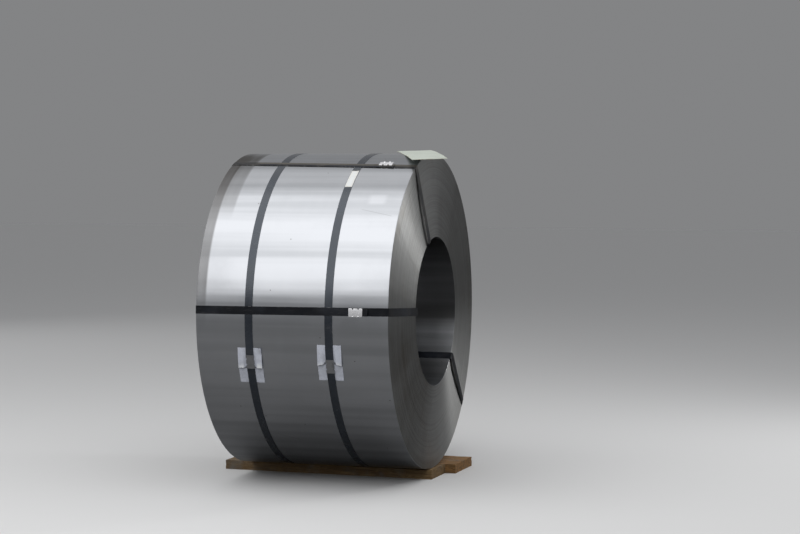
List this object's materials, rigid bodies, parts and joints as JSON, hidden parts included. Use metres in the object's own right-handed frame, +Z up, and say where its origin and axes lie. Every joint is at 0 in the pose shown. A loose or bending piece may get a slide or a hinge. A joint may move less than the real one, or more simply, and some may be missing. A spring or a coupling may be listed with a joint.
{
  "type": "steel coil",
  "caption": "Coil of cold rolled steel strip lying with its eye level, banded round its belly and through the eye with crimped steel straps, on rough boards.",
  "frame": {"origin": "on the floor, at the underside of the front board, straight below the middle of the coil", "axes": "+X along the eye towards the end that shows, +Z up, -Y towards the front with the belly seals"},
  "size_m": [1.0188, 1.3026, 1.3485],
  "materials": {
    "strip_steel": "cold rolled, satin, fine concentric laps on the ends",
    "strap_steel": "blue-black painted strapping, worn at the edges",
    "seal_zinc": "bright zinc",
    "pad_sheet": "pale grey sheet, creased",
    "label_paper": "blank white label",
    "card": "pale blank card",
    "timber": "rough sawn softwood, greyed"
  },
  "bodies": {
    "root": {"coil": "strip_steel", "belly_strap_left": "strap_steel", "belly_strap_right": "strap_steel", "belly_seal_left": "seal_zinc", "belly_seal_right": "seal_zinc", "seal_pad_left": "pad_sheet", "seal_pad_right": "pad_sheet", "eye_strap_front": "strap_steel", "eye_strap_top": "strap_steel", "eye_strap_rear": "strap_steel", "eye_seal_front": "seal_zinc", "eye_seal_top": "seal_zinc", "eye_seal_rear": "seal_zinc", "strap_label": "label_paper", "edge_card": "card", "plank_front": "timber", "plank_rear": "timber"}
  },
  "joints": []
}
